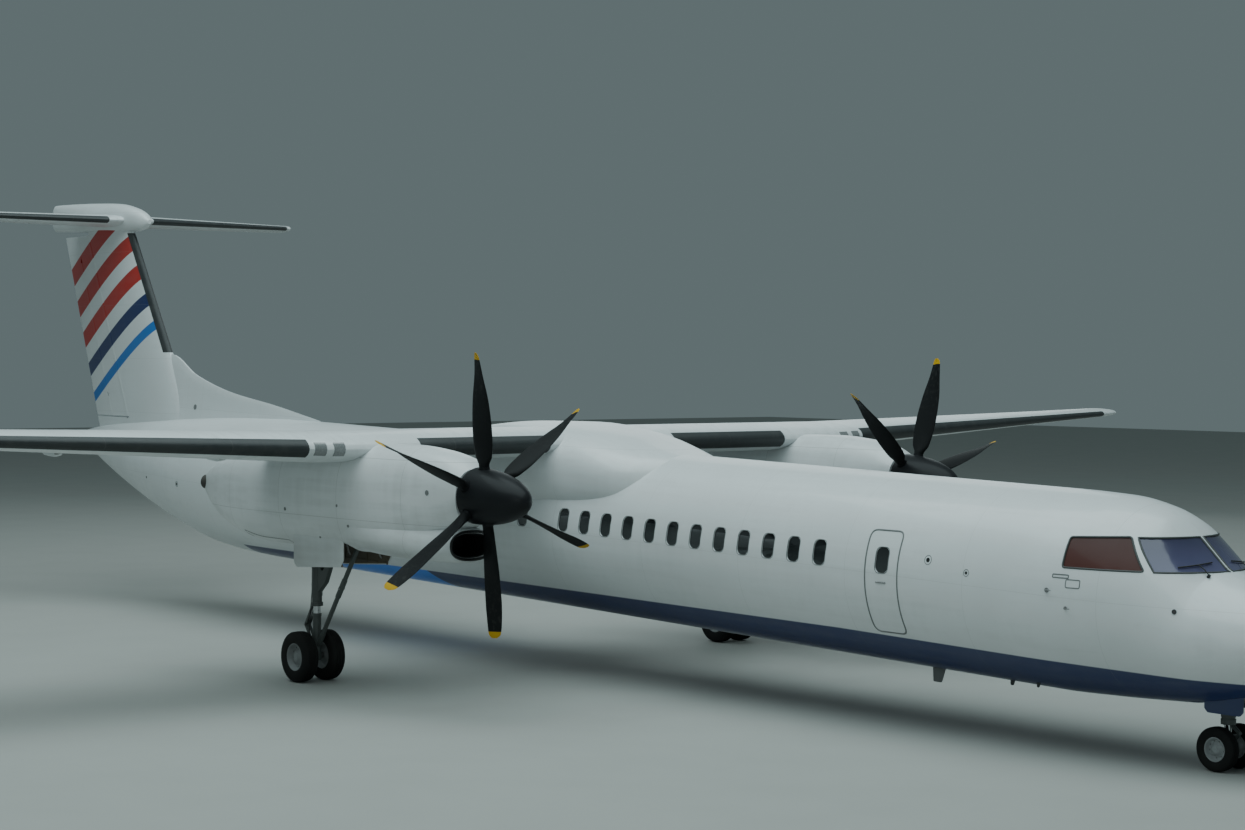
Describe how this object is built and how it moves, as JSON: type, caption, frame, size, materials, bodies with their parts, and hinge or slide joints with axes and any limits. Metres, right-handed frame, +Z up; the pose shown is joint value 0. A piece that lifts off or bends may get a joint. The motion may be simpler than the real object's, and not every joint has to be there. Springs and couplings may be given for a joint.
{
  "type": "turboprop airliner",
  "caption": "High-wing airliner with a T-tail, turning propellers, rolling and steered wheels, airstair door and moving flaps, ailerons, elevators and rudder.",
  "frame": {"origin": "on the ground, below the middle of the airliner's length and on its middle plane", "axes": "+X forward to the nose, +Y to port, +Z up"},
  "size_m": [32.83, 28.42, 8.34],
  "materials": {
    "white_paint": "semi-gloss",
    "navy_paint": "semi-gloss",
    "cockpit_glass": "clear",
    "propeller_black": "satin",
    "gear_grey": "satin",
    "wheel_grey": "satin",
    "tyre_rubber": "matte",
    "engine_metal": "rough"
  },
  "bodies": {
    "airframe": {"baggage_door_aft": "white_paint", "bullet_fairing": "white_paint", "emergency_exit_forward": "white_paint", "engine_port": "engine_metal", "engine_starboard": "engine_metal", "fin": "white_paint", "fuselage_aft": "white_paint", "fuselage_center": "white_paint", "fuselage_forward": "white_paint", "fuselage_nose": "white_paint", "main_gear_door_inner_port": "white_paint", "main_gear_door_inner_starboard": "white_paint", "main_gear_door_outer_port": "white_paint", "main_gear_door_outer_starboard": "white_paint", "main_gear_leg_port": "gear_grey", "main_gear_leg_starboard": "gear_grey", "nacelle_port": "white_paint", "nacelle_starboard": "white_paint", "nose_gear_door_port": "navy_paint", "nose_gear_door_starboard": "navy_paint", "nose_gear_upper_leg": "gear_grey", "passenger_door_aft": "white_paint", "service_door_aft": "white_paint", "side_window_port": "cockpit_glass", "side_window_starboard": "cockpit_glass", "tail_cone": "white_paint", "tailplane": "white_paint", "windscreen_port": "cockpit_glass", "windscreen_starboard": "cockpit_glass", "wing_center": "white_paint", "wing_fairing": "white_paint", "wing_outer_port": "white_paint", "wing_outer_starboard": "white_paint"},
    "propeller_port": {"propeller_port": "propeller_black", "spinner_port": "propeller_black"},
    "propeller_starboard": {"propeller_starboard": "propeller_black", "spinner_starboard": "propeller_black"},
    "main_wheels_port": {"main_port_wheels": "wheel_grey", "main_port_tyre_inner": "tyre_rubber", "main_port_tyre_outer": "tyre_rubber"},
    "main_wheels_starboard": {"main_starboard_wheels": "wheel_grey", "main_starboard_tyre_inner": "tyre_rubber", "main_starboard_tyre_outer": "tyre_rubber"},
    "nose_gear_steered": {"nose_gear_lower_leg": "gear_grey"},
    "nose_wheels": {"nose_wheels": "wheel_grey", "nose_tyre_inner": "tyre_rubber", "nose_tyre_outer": "tyre_rubber"},
    "airstair_door": {"airstair_door": "white_paint"},
    "rudder_fore": {"rudder_fore": "white_paint"},
    "rudder_trailing": {"rudder_rear": "white_paint"},
    "elevator_port": {"elevator_port": "white_paint"},
    "elevator_starboard": {"elevator_starboard": "white_paint"},
    "aileron_port": {"aileron_port": "white_paint"},
    "aileron_starboard": {"aileron_starboard": "white_paint"},
    "flap_inner_port": {"flap_inner_port": "white_paint"},
    "flap_inner_starboard": {"flap_inner_starboard": "white_paint"},
    "flap_outer_port": {"flap_outer_port": "white_paint"},
    "flap_outer_starboard": {"flap_outer_starboard": "white_paint"}
  },
  "joints": [
    {"name": "propeller_port_turn", "type": "hinge", "parent": "airframe", "child": "propeller_port", "pos_m": [5.3, 4.4, 3.086], "axis": [0.9992, 0, -0.04], "continuous": true},
    {"name": "main_wheels_port_roll", "type": "hinge", "parent": "airframe", "child": "main_wheels_port", "pos_m": [0.825, 4.4, 0.3935], "axis": [0, 1, 0], "continuous": true},
    {"name": "propeller_starboard_turn", "type": "hinge", "parent": "airframe", "child": "propeller_starboard", "pos_m": [5.3, -4.4, 3.086], "axis": [0.9992, 0, -0.04], "continuous": true},
    {"name": "main_wheels_starboard_roll", "type": "hinge", "parent": "airframe", "child": "main_wheels_starboard", "pos_m": [0.825, -4.4, 0.3935], "axis": [0, 1, 0], "continuous": true},
    {"name": "nose_gear_steering", "type": "hinge", "parent": "airframe", "child": "nose_gear_steered", "pos_m": [14.765, 0, 0.6], "axis": [0, 0, 1], "range_deg": [-60, 60]},
    {"name": "nose_wheels_roll", "type": "hinge", "parent": "nose_gear_steered", "child": "nose_wheels", "pos_m": [14.765, 0, 0.2795], "axis": [0, 1, 0], "continuous": true},
    {"name": "airstair_door_hinge", "type": "hinge", "parent": "airframe", "child": "airstair_door", "pos_m": [9.99, 1.04641, 1.28587], "axis": [-1, 0, 0], "range_deg": [0, 130]},
    {"name": "rudder_hinge", "type": "hinge", "parent": "airframe", "child": "rudder_fore", "pos_m": [-12.87503, 0, 3.78], "axis": [-0.4325, 0, 0.9017], "range_deg": [-18, 18]},
    {"name": "trailing_rudder_hinge", "type": "hinge", "parent": "rudder_fore", "child": "rudder_trailing", "pos_m": [-13.67293, 0, 3.78], "axis": [-0.3952, 0, 0.9186], "range_deg": [-17.1, 17.1]},
    {"name": "elevator_port_hinge", "type": "hinge", "parent": "airframe", "child": "elevator_port", "pos_m": [-14.3399, 0.33, 7.88789], "axis": [-0.1248, 0.9921, 0.0087], "range_deg": [-17, 25]},
    {"name": "elevator_starboard_hinge", "type": "hinge", "parent": "airframe", "child": "elevator_starboard", "pos_m": [-14.3399, -0.33, 7.88789], "axis": [0.1248, 0.9921, -0.0087], "range_deg": [-17, 25]},
    {"name": "aileron_port_hinge", "type": "hinge", "parent": "airframe", "child": "aileron_port", "pos_m": [0.887, 9.7, 3.83961], "axis": [-0.0016, 0.9993, 0.0375], "range_deg": [-20, 20]},
    {"name": "aileron_starboard_hinge", "type": "hinge", "parent": "airframe", "child": "aileron_starboard", "pos_m": [0.887, -9.7, 3.83961], "axis": [0.0016, 0.9993, -0.0375], "range_deg": [-20, 20]},
    {"name": "flap_inner_port_hinge", "type": "hinge", "parent": "airframe", "child": "flap_inner_port", "pos_m": [0.97785, 1.96, 3.48337], "axis": [0, -1, 0], "range_deg": [0, 35]},
    {"name": "flap_inner_starboard_hinge", "type": "hinge", "parent": "airframe", "child": "flap_inner_starboard", "pos_m": [0.97785, -1.96, 3.48337], "axis": [0, -1, 0], "range_deg": [0, 35]},
    {"name": "flap_outer_port_hinge", "type": "hinge", "parent": "airframe", "child": "flap_outer_port", "pos_m": [0.97288, 6.1, 3.5226], "axis": [0.0062, -0.9988, -0.0482], "range_deg": [0, 35]},
    {"name": "flap_outer_starboard_hinge", "type": "hinge", "parent": "airframe", "child": "flap_outer_starboard", "pos_m": [0.97288, -6.1, 3.5226], "axis": [-0.0062, -0.9988, 0.0482], "range_deg": [0, 35]}
  ],
  "couplings": [
    {"joint": "trailing_rudder_hinge", "follows": "rudder_hinge", "ratio": 0.95},
    {"joint": "elevator_starboard_hinge", "follows": "elevator_port_hinge", "ratio": 1},
    {"joint": "aileron_starboard_hinge", "follows": "aileron_port_hinge", "ratio": -1},
    {"joint": "flap_inner_starboard_hinge", "follows": "flap_inner_port_hinge", "ratio": 1},
    {"joint": "flap_outer_port_hinge", "follows": "flap_inner_port_hinge", "ratio": 1},
    {"joint": "flap_outer_starboard_hinge", "follows": "flap_inner_port_hinge", "ratio": 1}
  ]
}
